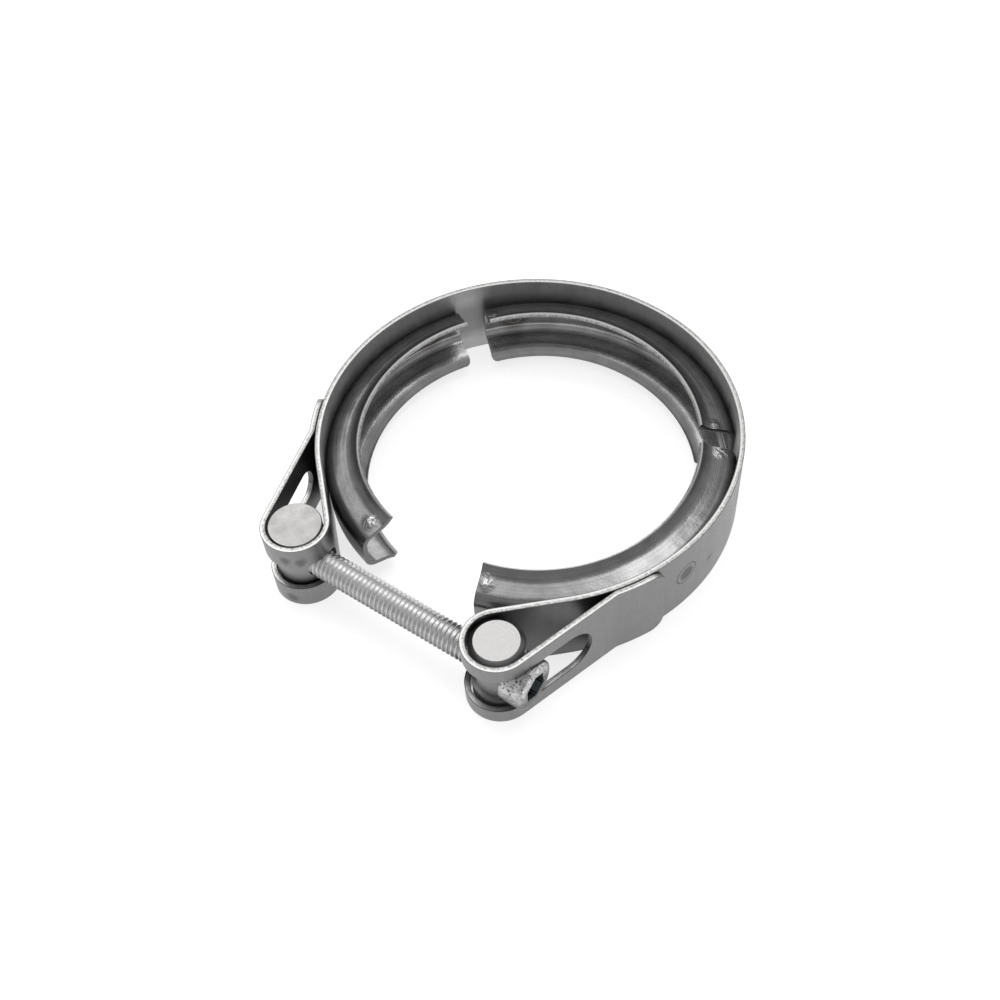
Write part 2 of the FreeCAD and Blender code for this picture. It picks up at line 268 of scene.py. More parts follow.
folded = addNode(tree, "ShaderNodeMapRange", {  # painted shade: inside its loops the strip is drawn darker
    "Value": folded, "To Min": 1.0, "To Max": stripLook["folded"]})
shade = addNode(tree, "ShaderNodeMath", [shade, folded], operation="MULTIPLY")
knock = nearest(tree, [Vector(p) for p in marks["knocks"]])
knock = addNode(tree, "ShaderNodeMath", [
    cloud, stripLook["knockRagged"] * mm, knock], operation="MULTIPLY_ADD")
knock = addNode(tree, "ShaderNodeMapRange", {
    "Value": knock, "From Min": stripLook["knockSize"][0] * mm,
    "From Max": stripLook["knockSize"][1] * mm, "To Min": stripLook["knock"], "To Max": 1.0})
shade = addNode(tree, "ShaderNodeMath", [shade, knock], operation="MULTIPLY")
colour = addNode(tree, "ShaderNodeMix", {
    "Factor": 1.0, 6: plain.outputs[2], 7: shade}, data_type="RGBA", blend_type="MULTIPLY")
rough = addNode(tree, "ShaderNodeMapRange", {
    "Value": cloud, "From Min": 0.3, "From Max": 0.7,
    "To Min": stripLook["rough"][0], "To Max": stripLook["rough"][1]})
rough = addNode(tree, "ShaderNodeMath", [inside, stripLook["roughInside"], rough], operation="MULTIPLY_ADD")
finishMaterial(tree, colour.outputs[2], rough, [(grain, 0.02), (dent, 0.2), (knock, 0.15)])

# sheared edge of steel sheet: burnished bright on its inner half, rough and dotted where the rest tore
edgeLooks = {       # the segments' edges are drawn brighter than the strap's, as painted highlight
    "shearedEdge": {"bright": "#b4b4b3", "torn": "#828281", "cornerShade": "#5e5e5e", "endShade": "#6c6c6c",
                    "rough": (0.36, 0.55), "speck": 0.45},
    "rolledEdge": {"bright": "#e0e0df", "torn": "#909090", "cornerShade": "#747474", "endShade": "#6e6e6e",
                   "rough": (0.28, 0.4), "speck": 0.6},
}
edgeZones = {"torn": (-0.25, 0.1), "tornLevel": (0.46, 0.78), "cornerShade": (0.36, 0.46), "endShade": 0.75}
edges = {}
for name, look in edgeLooks.items():
    edges[name], tree, flat = startMaterial(name, "flat")
    speck = addNode(tree, "ShaderNodeTexNoise", {
        "Vector": flat, "Scale": 1000 / look["speck"], "Detail": 4.0, "Roughness": 0.75})
    depth = addNode(tree, "ShaderNodeSeparateXYZ", [flat])
    torn = addNode(tree, "ShaderNodeMapRange", {    # the shear tore the outer half
        "Value": depth.outputs["Y"], "From Min": edgeZones["torn"][0] * mm,
        "From Max": edgeZones["torn"][1] * mm, "To Min": -0.12, "To Max": 0.14})
    depth = addNode(tree, "ShaderNodeMath", [depth.outputs["Y"]], operation="ABSOLUTE")
    torn = addNode(tree, "ShaderNodeMath", [speck, torn], operation="ADD")
    torn = addNode(tree, "ShaderNodeMapRange", {
        "Value": torn, "From Min": edgeZones["tornLevel"][0],
        "From Max": edgeZones["tornLevel"][1], "To Min": 0.0, "To Max": 1.0})
    skin = addNode(tree, "ShaderNodeMix", {
        "Factor": torn, 6: hexColour(look["bright"]), 7: hexColour(look["torn"])},
        data_type="RGBA")
    cornerShade = addNode(tree, "ShaderNodeMapRange", {    # painted shade: the corners are drawn dull
        "Value": depth, "From Min": edgeZones["cornerShade"][0] * mm,
        "From Max": edgeZones["cornerShade"][1] * mm, "To Min": 0.0, "To Max": 1.0})
    skin = addNode(tree, "ShaderNodeMix", {
        "Factor": cornerShade, 6: skin.outputs[2], 7: hexColour(look["cornerShade"])}, data_type="RGBA")
    where = addNode(tree, "ShaderNodeTexCoord")     # painted shade: ends that face along the ring are drawn darker
    forward = addNode(tree, "ShaderNodeVectorMath", [(0, 0, 1), where.outputs["Object"]],
                      operation="CROSS_PRODUCT")
    forward = addNode(tree, "ShaderNodeVectorMath", [forward], operation="NORMALIZE")
    forward = addNode(tree, "ShaderNodeVectorMath", [forward, where.outputs["Normal"]],
                      operation="DOT_PRODUCT")
    forward = addNode(tree, "ShaderNodeMath", [forward.outputs["Value"]], operation="ABSOLUTE")
    endShade = addNode(tree, "ShaderNodeMath", [forward, edgeZones["endShade"]], operation="GREATER_THAN")
    colour = addNode(tree, "ShaderNodeMix", {
        "Factor": endShade, 6: skin.outputs[2], 7: hexColour(look["endShade"])}, data_type="RGBA")
    rough = addNode(tree, "ShaderNodeMapRange", {
        "Value": torn, "To Min": look["rough"][0], "To Max": look["rough"][1]})
    finishMaterial(tree, colour.outputs[2], rough, [(speck, 0.03)])

# roll-formed stainless sheet: smoother than the strap, with fine drawing streaks along its length
# real streaks are under 0.1 mm wide, so they are drawn coarser
rollLook = {
    # inside is painted light: how much paler the groove side is drawn
    "dark": "#6b6b6b", "pale": "#8b8b8b", "rough": (0.2, 0.31), "inside": 1.55,
    "streak": 0.3, "streakLength": 36.0, "cloud": 5.0,
    "tint": "#5b5855", "tintReach": (2.0, 4.6), "tintShare": 0.85, "dent": (1.8, 2.2),
    "crease": "#c4c4c4", "creaseSize": 1.8, "creaseReach": (0.6, 2.5), "creaseLevel": (0.42, 0.56),
}
rollFormed, tree, flat = startMaterial("rollFormedSheet", "flat")
along = addNode(tree, "ShaderNodeMapping", {
    "Vector": flat,
    "Scale": (1000 / rollLook["streakLength"], 1000 / rollLook["streak"], 1000 / rollLook["streak"])})
streak = addNode(tree, "ShaderNodeTexNoise", {
    "Vector": along, "Scale": 1.0, "Detail": 3.0, "Roughness": 0.6})
cloud = addNode(tree, "ShaderNodeTexNoise", {
    "Vector": flat, "Scale": 1000 / rollLook["cloud"], "Detail": 5.0})
tone = addNode(tree, "ShaderNodeMath", [cloud, 0.5], operation="MULTIPLY")
tone = addNode(tree, "ShaderNodeMath", [streak, 0.5, tone], operation="MULTIPLY_ADD")
tone = addNode(tree, "ShaderNodeMapRange", {
    "Value": tone, "From Min": 0.32, "From Max": 0.68, "To Min": 0.0, "To Max": 1.0})
plain = addNode(tree, "ShaderNodeMix", {
    "Factor": tone, 6: hexColour(rollLook["dark"]), 7: hexColour(rollLook["pale"])},
    data_type="RGBA")
weld = nearest(tree, [onRing(marks["crownRadius"], a, 0.3) for a in marks["welds"]])
tint = addNode(tree, "ShaderNodeMapRange", {
    "Value": weld, "From Min": rollLook["tintReach"][0] * mm, "From Max": rollLook["tintReach"][1] * mm,
    "To Min": rollLook["tintShare"], "To Max": 0.0}, interpolation_type="SMOOTHSTEP")
skin = addNode(tree, "ShaderNodeSeparateXYZ", [flat])     # painted light: the groove side is drawn paler than the back
skin = addNode(tree, "ShaderNodeMapRange", {
    "Value": skin.outputs["Y"], "From Min": -0.3 * mm, "From Max": 0.3 * mm,
    "To Min": 1.0, "To Max": rollLook["inside"]})
plain = addNode(tree, "ShaderNodeMix", {
    "Factor": 1.0, 6: plain.outputs[2], 7: skin}, data_type="RGBA", blend_type="MULTIPLY")
colour = addNode(tree, "ShaderNodeMix", {
    "Factor": tint, 6: plain.outputs[2], 7: hexColour(rollLook["tint"])}, data_type="RGBA")
rough = addNode(tree, "ShaderNodeMapRange", {
    "Value": streak, "From Min": 0.3, "From Max": 0.7,
    "To Min": rollLook["rough"][0], "To Max": rollLook["rough"][1]})
dent = addNode(tree, "ShaderNodeMapRange", {
    "Value": weld, "From Min": rollLook["dent"][0] * mm, "From Max": rollLook["dent"][1] * mm,
    "To Min": 0.0, "To Max": 1.0}, interpolation_type="SMOOTHSTEP")
near = nearest(tree, [onRing(r, a, z) for r, a, z in marks["tools"]])
near = addNode(tree, "ShaderNodeMapRange", {    # creases that the press tool left beside the ends, drawn pale as painted highlights
    "Value": near, "From Min": rollLook["creaseReach"][0] * mm,
    "From Max": rollLook["creaseReach"][1] * mm, "To Min": 1.0, "To Max": 0.0},
    interpolation_type="SMOOTHSTEP")
fold = addNode(tree, "ShaderNodeTexNoise", {
    "Vector": flat, "Scale": 1000 / rollLook["creaseSize"], "Detail": 2.0, "Roughness": 0.55,
    "Distortion": 1.2})
crease = addNode(tree, "ShaderNodeMath", [fold, near], operation="MULTIPLY")
# painted highlight: the creases are drawn pale
shine = addNode(tree, "ShaderNodeMapRange", {
    "Value": crease, "From Min": rollLook["creaseLevel"][0],
    "From Max": rollLook["creaseLevel"][1], "To Min": 0.0, "To Max": 0.8})
colour = addNode(tree, "ShaderNodeMix", {
    "Factor": shine, 6: colour.outputs[2], 7: hexColour(rollLook["crease"])}, data_type="RGBA")
finishMaterial(tree, colour.outputs[2], rough, [(streak, 0.012), (cloud, 0.12), (dent, 0.2), (crease, 0.4)])

# turned steel bar: faint lathe rings round its side, and end faces that were faced and then sanded pale
# real rings and scratches are under 0.1 mm apart, so they are drawn coarser
barLook = {
    "side": "#8a8a8a", "end": "#a4a3a2", "sideRough": 0.33, "endRough": 0.42,
    "ring": 0.3, "scratch": 0.2, "sandedAt": 35, "nutMottleAndShade": 3.0, "nutShaded": (0.93, 0.7),
}
turnedBar, tree, place = startMaterial("turnedBar", "object")
facing = addNode(tree, "ShaderNodeNewGeometry").outputs["Normal"]
facing = addNode(tree, "ShaderNodeSeparateXYZ", [facing])
facing = addNode(tree, "ShaderNodeMath", [facing.outputs["Z"]], operation="ABSOLUTE")
isEnd = addNode(tree, "ShaderNodeMath", [facing, 0.9], operation="GREATER_THAN")
turned = addNode(tree, "ShaderNodeMapping", {"Vector": place, "Scale": (60, 60, 1000 / barLook["ring"])})
rings = addNode(tree, "ShaderNodeTexNoise", {"Vector": turned, "Scale": 1.0, "Detail": 2.0})
sanded = addNode(tree, "ShaderNodeMapping", {
    "Vector": place, "Rotation": (0, 0, math.radians(barLook["sandedAt"])),
    "Scale": (1300, 1000 / barLook["scratch"], 1300)})
scratch = addNode(tree, "ShaderNodeTexNoise", {
    "Vector": sanded, "Scale": 1.0, "Detail": 4.0, "Roughness": 0.65})
pattern = addNode(tree, "ShaderNodeMix", {"Factor": isEnd, 2: rings, 3: scratch}, data_type="FLOAT")
base = addNode(tree, "ShaderNodeMix", {
    "Factor": isEnd, 6: hexColour(barLook["side"]), 7: hexColour(barLook["end"])},
    data_type="RGBA")
dim = addNode(tree, "ShaderNodeMapRange", {
    "Value": pattern, "From Min": 0.3, "From Max": 0.7, "To Min": 0.88, "To Max": 1.05})
colour = addNode(tree, "ShaderNodeMix", {
    "Factor": 1.0, 6: base.outputs[2], 7: dim}, data_type="RGBA", blend_type="MULTIPLY")
nutMottleAndShade = addNode(tree, "ShaderNodeTexNoise", {
    "Vector": place, "Scale": 1000 / barLook["nutMottleAndShade"], "Detail": 5.0, "Roughness": 0.65})
side = addNode(tree, "ShaderNodeSeparateXYZ", [place])
side = addNode(tree, "ShaderNodeMath", [side.outputs["X"], 0.0], operation="LESS_THAN")
nutMottleAndShade = addNode(tree, "ShaderNodeMapRange", {    # the nut's ends are cloudier than the seat's and darker by painted shade
    "Value": nutMottleAndShade, "From Min": 0.35, "From Max": 0.65,
    "To Min": barLook["nutShaded"][0], "To Max": barLook["nutShaded"][1]})
nutMottleAndShade = addNode(tree, "ShaderNodeMix", {"Factor": side, 2: 1.0, 3: nutMottleAndShade}, data_type="FLOAT")
nutShaded = addNode(tree, "ShaderNodeMix", {
    "Factor": 1.0, 6: colour.outputs[2], 7: nutMottleAndShade}, data_type="RGBA", blend_type="MULTIPLY")
colour = addNode(tree, "ShaderNodeMix", {
    "Factor": isEnd, 6: colour.outputs[2], 7: nutShaded.outputs[2]}, data_type="RGBA")
rough = addNode(tree, "ShaderNodeMapRange", {
    "Value": isEnd, "To Min": barLook["sideRough"], "To Max": barLook["endRough"]})
finishMaterial(tree, colour.outputs[2], rough, [(pattern, 0.02)])

# bright zinc plate on a cold-headed screw: pale and a little cloudy, with small dark pits in the head
zincLook = {
    "pale": "#e2e2e2", "dull": "#a0a0a0", "under": "#565656", "pit": "#4c4c4c", "socket": "#3d4144",
    "rough": (0.26, 0.42), "cloud": 0.9, "cloudLevel": (0.38, 0.66), "pitSpacing": 0.68,
    "headZone": 5.1, "headDull": 0.3, "threadEven": 0.35, "underZone": (-1.2, 2.2), "underShare": 0.95,
    "socketReach": 2.95, "socketRim": 0.1,
}
zincPlate, tree, place = startMaterial("zincPlate", "object")
cloud = addNode(tree, "ShaderNodeTexNoise", {
    "Vector": place, "Scale": 1000 / zincLook["cloud"], "Detail": 5.0, "Roughness": 0.6})
pits = addNode(tree, "ShaderNodeTexVoronoi", {"Vector": place, "Scale": 1000 / zincLook["pitSpacing"]})
axes = addNode(tree, "ShaderNodeSeparateXYZ", [place])
onHead = addNode(tree, "ShaderNodeMath", [
    axes.outputs["X"], (screwHigh.x - zincLook["headZone"]) * mm], operation="GREATER_THAN")
pitted = addNode(tree, "ShaderNodeMath", [cloud, -0.42, pits.outputs["Distance"]], operation="MULTIPLY_ADD")
pitted = addNode(tree, "ShaderNodeMapRange", {
    "Value": pitted, "From Min": -0.03, "From Max": 0.14, "To Min": 1.0, "To Max": 0.0})
pitted = addNode(tree, "ShaderNodeMath", [pitted, onHead], operation="MULTIPLY")
tone = addNode(tree, "ShaderNodeMapRange", {
    "Value": cloud, "From Min": zincLook["cloudLevel"][0],
    "From Max": zincLook["cloudLevel"][1], "To Min": 0.0, "To Max": 0.8})
under = addNode(tree, "ShaderNodeMapRange", {   # lower side drawn darker, as it lies in shade
    "Value": axes.outputs["Z"], "From Min": zincLook["underZone"][0] * mm,
    "From Max": zincLook["underZone"][1] * mm, "To Min": zincLook["underShare"], "To Max": 0.0})
even = addNode(tree, "ShaderNodeMapRange", {    # the rolled thread is more even than the head
    "Value": onHead, "To Min": zincLook["threadEven"], "To Max": 1.0})
tone = addNode(tree, "ShaderNodeMath", [tone, even], operation="MULTIPLY")
tone = addNode(tree, "ShaderNodeMath", [onHead, zincLook["headDull"], tone], operation="MULTIPLY_ADD")
plain = addNode(tree, "ShaderNodeMix", {
    "Factor": tone, 6: hexColour(zincLook["pale"]), 7: hexColour(zincLook["dull"])},
    data_type="RGBA")
plain = addNode(tree, "ShaderNodeMix", {
    "Factor": under, 6: plain.outputs[2], 7: hexColour(zincLook["under"])}, data_type="RGBA")
marked = addNode(tree, "ShaderNodeMix", {
    "Factor": pitted, 6: plain.outputs[2], 7: hexColour(zincLook["pit"])}, data_type="RGBA")
# painted shade: the inside of the hex socket is drawn dark
deep = addNode(tree, "ShaderNodeMath", [
    axes.outputs["X"], (screwHigh.x - zincLook["socketRim"]) * mm], operation="LESS_THAN")
fromAxis = addNode(tree, "ShaderNodeVectorMath", [place, (0, 1, 1)], operation="MULTIPLY")
fromAxis = addNode(tree, "ShaderNodeVectorMath", [fromAxis, (0, screwY * mm, 0)], operation="DISTANCE")
socket = addNode(tree, "ShaderNodeMath", [
    fromAxis.outputs["Value"], zincLook["socketReach"] * mm], operation="LESS_THAN")
socket = addNode(tree, "ShaderNodeMath", [socket, deep], operation="MULTIPLY")
socket = addNode(tree, "ShaderNodeMath", [socket, onHead], operation="MULTIPLY")
colour = addNode(tree, "ShaderNodeMix", {
    "Factor": socket, 6: marked.outputs[2], 7: hexColour(zincLook["socket"])}, data_type="RGBA")
rough = addNode(tree, "ShaderNodeMapRange", {
    "Value": cloud, "From Min": 0.3, "From Max": 0.7,
    "To Min": zincLook["rough"][0], "To Max": zincLook["rough"][1]})
dip = addNode(tree, "ShaderNodeMath", [1.0, pitted], operation="SUBTRACT")
ripple = addNode(tree, "ShaderNodeMath", [cloud, onHead], operation="MULTIPLY")
finishMaterial(tree, colour.outputs[2], rough, [(dip, 0.05), (ripple, 0.12)])
print("finishes ready")


sheetRules = {
    "merge": 1e-7,          # metres; points closer than this are one
    "sharp": 1.2,           # radians; sharper edges of a blank are rounded
    "cutFace": 0.8,         # a face is a cut edge where its normal's share across the sheet is below this
    "pathStep": 0.4,        # millimetres between points of a guide
}


def cutBlank(name, rows, thickness, columns, edgeRound):
    # sheet metal is cut flat here and then bent by a node tree
    # a row is a place along the blank and the strips of sheet across it, each (low, high)
    sheet = bmesh.new()
    lines = []
    for side in (-thickness / 2, thickness / 2):
        for along, strips in rows:
            lines.append([[sheet.verts.new((along * mm, side * mm, (low + (high - low) * c / columns) * mm))
                           for c in range(columns + 1)] for low, high in strips])
    for start in (0, len(rows)):
        for here, there in zip(lines[start:start + len(rows) - 1], lines[start + 1:start + len(rows)]):
            for near, far in zip(here, there):
                for c in range(columns):
                    corners = (near[c], far[c], far[c + 1], near[c + 1])
                    sheet.faces.new(corners if start else corners[::-1])
    bmesh.ops.remove_doubles(sheet, verts=sheet.verts[:], dist=sheetRules["merge"])
    openEdges = [edge for edge in sheet.edges if edge.is_boundary]

    def spotOf(co, onTop):
        return round(co.x / sheetRules["merge"]), onTop, round(co.z / sheetRules["merge"])

    opposite = {spotOf(vert.co, vert.co.y > 0): vert for vert in sheet.verts}
    for edge in openEdges:
        if edge.verts[0].co.y < 0:
            loop = edge.link_loops[0]
            first, second = loop.vert, loop.link_loop_next.vert
            across = [opposite[spotOf(v.co, True)] for v in (first, second)]
            sheet.faces.new((second, first, across[0], across[1]))
    sheet.normal_update()
    corners = [edge for edge in sheet.edges
               if edge.is_manifold and edge.calc_face_angle() > sheetRules["sharp"]]
    bmesh.ops.bevel(sheet, geom=corners, offset=edgeRound * mm, segments=2, profile=0.5,
                    affect="EDGES", clamp_overlap=True)
    bmesh.ops.recalc_face_normals(sheet, faces=sheet.faces[:])
    sheet.normal_update()
    cut = [abs(face.normal.y) < sheetRules["cutFace"] for face in sheet.faces]
    blank = bpy.data.meshes.new(name + "Blank")
    sheet.to_mesh(blank)
    sheet.free()
    blank.attributes.new("cutEdge", "BOOLEAN", "FACE").data.foreach_set("value", cut)
    blank.polygons.foreach_set("use_smooth", [True] * len(blank.polygons))
    return blank


def guideCurve(name, points):
    # line that a tree bends a blank along
    data = bpy.data.curves.new(name, "CURVE")
    data.dimensions = "3D"
    spline = data.splines.new("POLY")
    spline.points.add(len(points) - 1)
    for target, point in zip(spline.points, points):
        target.co = (*(point * mm), 1)
    guide = bpy.data.objects.new(name, data)
    bpy.context.scene.collection.objects.link(guide)
    return guide


def startTree(name, inputs):
    tree = bpy.data.node_groups.new(name, "GeometryNodeTree")
    tree.interface.new_socket("Geometry", in_out="OUTPUT", socket_type="NodeSocketGeometry")
    tree.interface.new_socket("Geometry", in_out="INPUT", socket_type="NodeSocketGeometry")
    for label, kind in inputs.items():
        tree.interface.new_socket(label, in_out="INPUT", socket_type="NodeSocket" + kind)
    return tree, addNode(tree, "NodeGroupInput").outputs


def endTree(tree, geometry, skin, edge=None):
    real = addNode(tree, "GeometryNodeRealizeInstances", {"Geometry": geometry})
    dressed = addNode(tree, "GeometryNodeSetMaterial", {"Geometry": real, "Material": skin})
    if edge:
        cut = addNode(tree, "GeometryNodeInputNamedAttribute", {"Name": "cutEdge"}, data_type="BOOLEAN")
        dressed = addNode(tree, "GeometryNodeSetMaterial", {
            "Geometry": dressed, "Selection": cut, "Material": edge})
    addNode(tree, "NodeGroupOutput", {"Geometry": dressed})


def keepFlat(tree, geometry):
    # stores each point's place in the flat sheet for the materials, and gives it back split in three
    flatPlace = addNode(tree, "GeometryNodeInputPosition").outputs[0]
    kept = addNode(tree, "GeometryNodeStoreNamedAttribute", {
        "Geometry": geometry, "Name": "flat", "Value": flatPlace},
        data_type="FLOAT_VECTOR", domain="POINT")
    return kept, addNode(tree, "ShaderNodeSeparateXYZ", [flatPlace])


def shapeWith(tree, name, mesh, values):
    # runs the tree on a mesh and gives back a plain object
    carrier = bpy.data.objects.new(name + "Carrier", mesh)
    bpy.context.scene.collection.objects.link(carrier)
    shape = carrier.modifiers.new("shape", "NODES")
    shape.node_group = tree
    for item in tree.interface.items_tree:
        if item.in_out == "INPUT" and item.name in values:
            shape[item.identifier] = values[item.name]
    carrier.modifiers.new("evenLight", "WEIGHTED_NORMAL").keep_sharp = True
    bpy.context.view_layer.update()
    made = bpy.data.meshes.new_from_object(carrier.evaluated_get(bpy.context.evaluated_depsgraph_get()))
    made.name = name
    if made.materials[0] is None:       # empty slot that joining leaves behind
        made.materials.pop(index=0)
    bpy.data.objects.remove(carrier)
    piece = bpy.data.objects.new(name, made)
    bpy.context.scene.collection.objects.link(piece)
    return piece


strap = {
    "thickness": 1.1, "edgeRound": 0.1,
    "loopPlay": 0.35,                   # between trunnion and loop, all round
    "tabStart": 56.3, "tabLength": 9.8, "tabBend": 2.5, "tabCorner": 3.0, "tabGap": 0.15,
    "nutSlot": (7.0, 18.2), "seatSlot": (10.4, 16.5),       # width, reach along the outer leg
    "shank": 3.5,                       # from the screw's axis to where a slot starts
    "step": 0.6, "ringStep": 1.0, "cornerSteps": 10, "columns": 5,
    "closest": 0.02,                    # plain rows keep this far from a slot's ends
}


def arcOf(centre, radius, first, last):
    # points on an arc, angles from +X
    count = max(4, round(abs(math.radians(last - first)) * radius / sheetRules["pathStep"]))
    turns = [math.radians(first + (last - first) * i / count) for i in range(count + 1)]
    return [centre + Vector((math.cos(a), math.sin(a), 0)) * radius for a in turns]


def lineOf(start, end):
    count = max(2, round((end - start).length / sheetRules["pathStep"]))
    return [start.lerp(end, i / count) for i in range(count + 1)]


ringMiddle = ringOuter - strap["thickness"] / 2
loopCentre = Vector(((seatLow.x + seatHigh.x) / 2, (seatLow.y + seatHigh.y) / 2, 0))
loopMiddle = (seatHigh.x - seatLow.x) / 2 + strap["loopPlay"] + strap["thickness"] / 2
tabMiddle = ringOuter + strap["tabGap"] + strap["thickness"] / 2

tangent = math.degrees(math.atan2(loopCentre.x, -loopCentre.y)
                       + math.acos((ringMiddle + loopMiddle) / loopCentre.length))
bendCentre = onRing(tabMiddle + strap["tabBend"], strap["tabStart"])
span = bendCentre - loopCentre
lean = math.atan2(span.x, span.y) - math.asin((loopMiddle + strap["tabBend"]) / span.length)
outward = Vector((math.cos(lean), -math.sin(lean), 0))
leanDegrees = math.degrees(lean)
tabTurn = strap["tabStart"] - 90
innerLeg = lineOf(onRing(ringMiddle, tangent), loopCentre - onRing(loopMiddle, tangent))
wrap = arcOf(loopCentre, loopMiddle, tangent + 90, 360 - leanDegrees)
outerLeg = lineOf(loopCentre + outward * loopMiddle, bendCentre - outward * strap["tabBend"])
bend = arcOf(bendCentre, strap["tabBend"], 180 - leanDegrees, tabTurn + 180)
tab = arcOf(Vector(), tabMiddle, tabTurn, tabTurn + math.degrees(strap["tabLength"] / tabMiddle))


def withoutRepeats(points):
    kept = points[:1]
    for point in points[1:]:
        if (point - kept[-1]).length > 1e-4:
            kept.append(point)
    return kept


def runLengths(points):
    lengths = [0.0]
    for start, end in zip(points, points[1:]):
        lengths.append(lengths[-1] + (end - start).length)
    return lengths


halfPath = withoutRepeats(innerLeg + wrap + outerLeg + bend + tab)
halfRun = runLengths(halfPath)
halfLength = halfRun[-1]
legStart = runLengths(withoutRepeats(innerLeg + wrap))[-1]
frontIndex = min(range(len(halfPath)), key=lambda i: halfPath[i].y)
ring = arcOf(Vector(), ringMiddle, 270 - tangent, tangent - 90)
mirrored = [Vector((-p.x, p.y, 0)) for p in reversed(halfPath)]
strapPath = withoutRepeats(mirrored + ring + halfPath)
ringLength = runLengths(ring)[-1]


def runAtHeight(y):
    # how far along the half path the inner leg comes down to y
    heights = [-p.y for p in halfPath[:frontIndex]]
    i = max(1, bisect.bisect_left(heights, -y))
    share = (-y - heights[i - 1]) / (heights[i] - heights[i - 1])
    return halfRun[i - 1] + share * (halfRun[i] - halfRun[i - 1])


def slotRows(width, reach):
    # places along the half path, each with half the slot's width there
    half = width / 2
    startY = loopCentre.y - (half - strap["shank"])
    turns = [math.radians(90 * i / strap["cornerSteps"]) for i in range(strap["cornerSteps"] + 1)]
    rows = {}
    for a in turns:     # the round start, as a cutter across the loop leaves it
        rows[runAtHeight(startY + half * math.cos(a))] = half * math.sin(a)
    first, last = runAtHeight(startY), legStart + reach - half
    count = round((last - first) / strap["step"])
    for i in range(1, count):
        rows[first + (last - first) * i / count] = half
    for a in turns:
        rows[last + half * math.sin(a)] = half * math.cos(a)
    rows[legStart + reach] = 0.0
    rows[runAtHeight(startY + half)] = 0.0
    return rows


def halfRows(width, reach):
    # all stations of one end of the strip: slot, plain runs and the tab's rounded end
    slot = slotRows(width, reach)
    stations = dict(slot)
    first, last = min(slot), max(slot)
    corner = strap["tabCorner"]
    for start, end in ((0.0, first), (last, halfLength - corner)):
        count = max(1, round((end - start) / strap["step"]))
        for i in range(count + 1):
            station = start + (end - start) * i / count
            if all(abs(station - s) > strap["closest"] for s in (first, last)):
                stations[station] = 0.0
    for i in range(strap["cornerSteps"] + 1):
        turn = math.radians(90 * i / strap["cornerSteps"])
        stations[halfLength - corner * (1 - math.sin(turn))] = 0.0
    rows = []
    for run in sorted(stations):
        left = max(0.0, corner - (halfLength - run))
        edge = halfWidth - corner + math.sqrt(max(0.0, corner ** 2 - left ** 2))
        rows.append((run, edge, stations[run]))
    return rows


rows = []
for run, edge, slot in reversed(halfRows(*strap["nutSlot"])):
    rows.append((halfLength - run, [(-edge, -slot), (slot, edge)]))
ringCount = round(ringLength / strap["ringStep"])
for i in range(1, ringCount):
    rows.append((halfLength + ringLength * i / ringCount, [(-halfWidth, 0.0), (0.0, halfWidth)]))
for run, edge, slot in halfRows(*strap["seatSlot"]):
    rows.append((halfLength + ringLength + run, [(-edge, -slot), (slot, edge)]))
strapBlank = cutBlank("strap", rows, strap["thickness"], strap["columns"], strap["edgeRound"])

tree, given = startTree("foldStrip", {"Path": "Object"})
kept, parts = keepFlat(tree, given["Geometry"])
guide = addNode(tree, "GeometryNodeObjectInfo", {"Object": given["Path"]})
there = addNode(tree, "GeometryNodeSampleCurve", {
    "Curves": guide.outputs["Geometry"], "Length": parts.outputs["X"]}, mode="LENGTH")
side = addNode(tree, "ShaderNodeVectorMath", [(0, 0, 1), there.outputs["Tangent"]],
               operation="CROSS_PRODUCT")
offset = addNode(tree, "ShaderNodeVectorMath", {0: side, "Scale": parts.outputs["Y"]}, operation="SCALE")
lift = addNode(tree, "ShaderNodeCombineXYZ", {"Z": parts.outputs["Z"]})
place = addNode(tree, "ShaderNodeVectorMath", [there.outputs["Position"], offset], operation="ADD")
place = addNode(tree, "ShaderNodeVectorMath", [place, lift], operation="ADD")
bent = addNode(tree, "GeometryNodeSetPosition", {"Geometry": kept, "Position": place})
endTree(tree, bent, millFinish, edges["shearedEdge"])

strapGuide = guideCurve("strapGuide", strapPath)
foldedStrap = shapeWith(tree, "foldedStrap", strapBlank, {"Path": strapGuide})
bpy.data.objects.remove(strapGuide)
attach(foldedStrap, "band")
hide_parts("clamp_strap")
print("strap folded")


segment = {
    "thickness": 1.0, "edgeRound": 0.2,
    "crownWidth": 7.4, "shoulder": 2.3, "legAngle": 14.0, "lipAngle": 46.0, "lipBend": 4.6,
    "lipLength": 1.8, "depth": 7.3, "lipCorner": 1.4,
    "columns": 66, "step": 0.55, "bendStep": 0.1, "cornerSteps": 6,
    "spring": 1.65,         # how far a long free end stands in from the strap
    "springArc": 57.0,      # degrees from its last weld to such an end
}
segments = {        # ends, then the stretch that lies on the strap
    "left": (-123.0, -17.9, -112.6, -62.0),
    "back": (126.0, 228.8, 130.0, 184.0),
    "right": (19.2, 118.8, 78.0, 108.0),
}

crownRadius = ringOuter - strap["thickness"] - segment["thickness"] / 2
lipRadius = ringOuter - strap["thickness"] - segment["depth"]
leg = math.radians(segment["legAngle"])
lip = math.radians(segment["lipAngle"])
legWay = Vector((0, math.cos(leg), math.sin(leg)))
lipWay = Vector((0, math.cos(lip), math.sin(lip)))
shoulderPoint = Vector((0, -crownRadius, segment["crownWidth"] / 2))
lipDrop = segment["lipLength"] * math.cos(lip)
legRun = (crownRadius - lipRadius - lipDrop) / math.cos(leg)
knee = shoulderPoint + legWay * legRun
shoulderCut = segment["shoulder"] * math.tan((math.pi / 2 - leg) / 2)
kneeCut = segment["lipBend"] * math.tan((lip - leg) / 2)


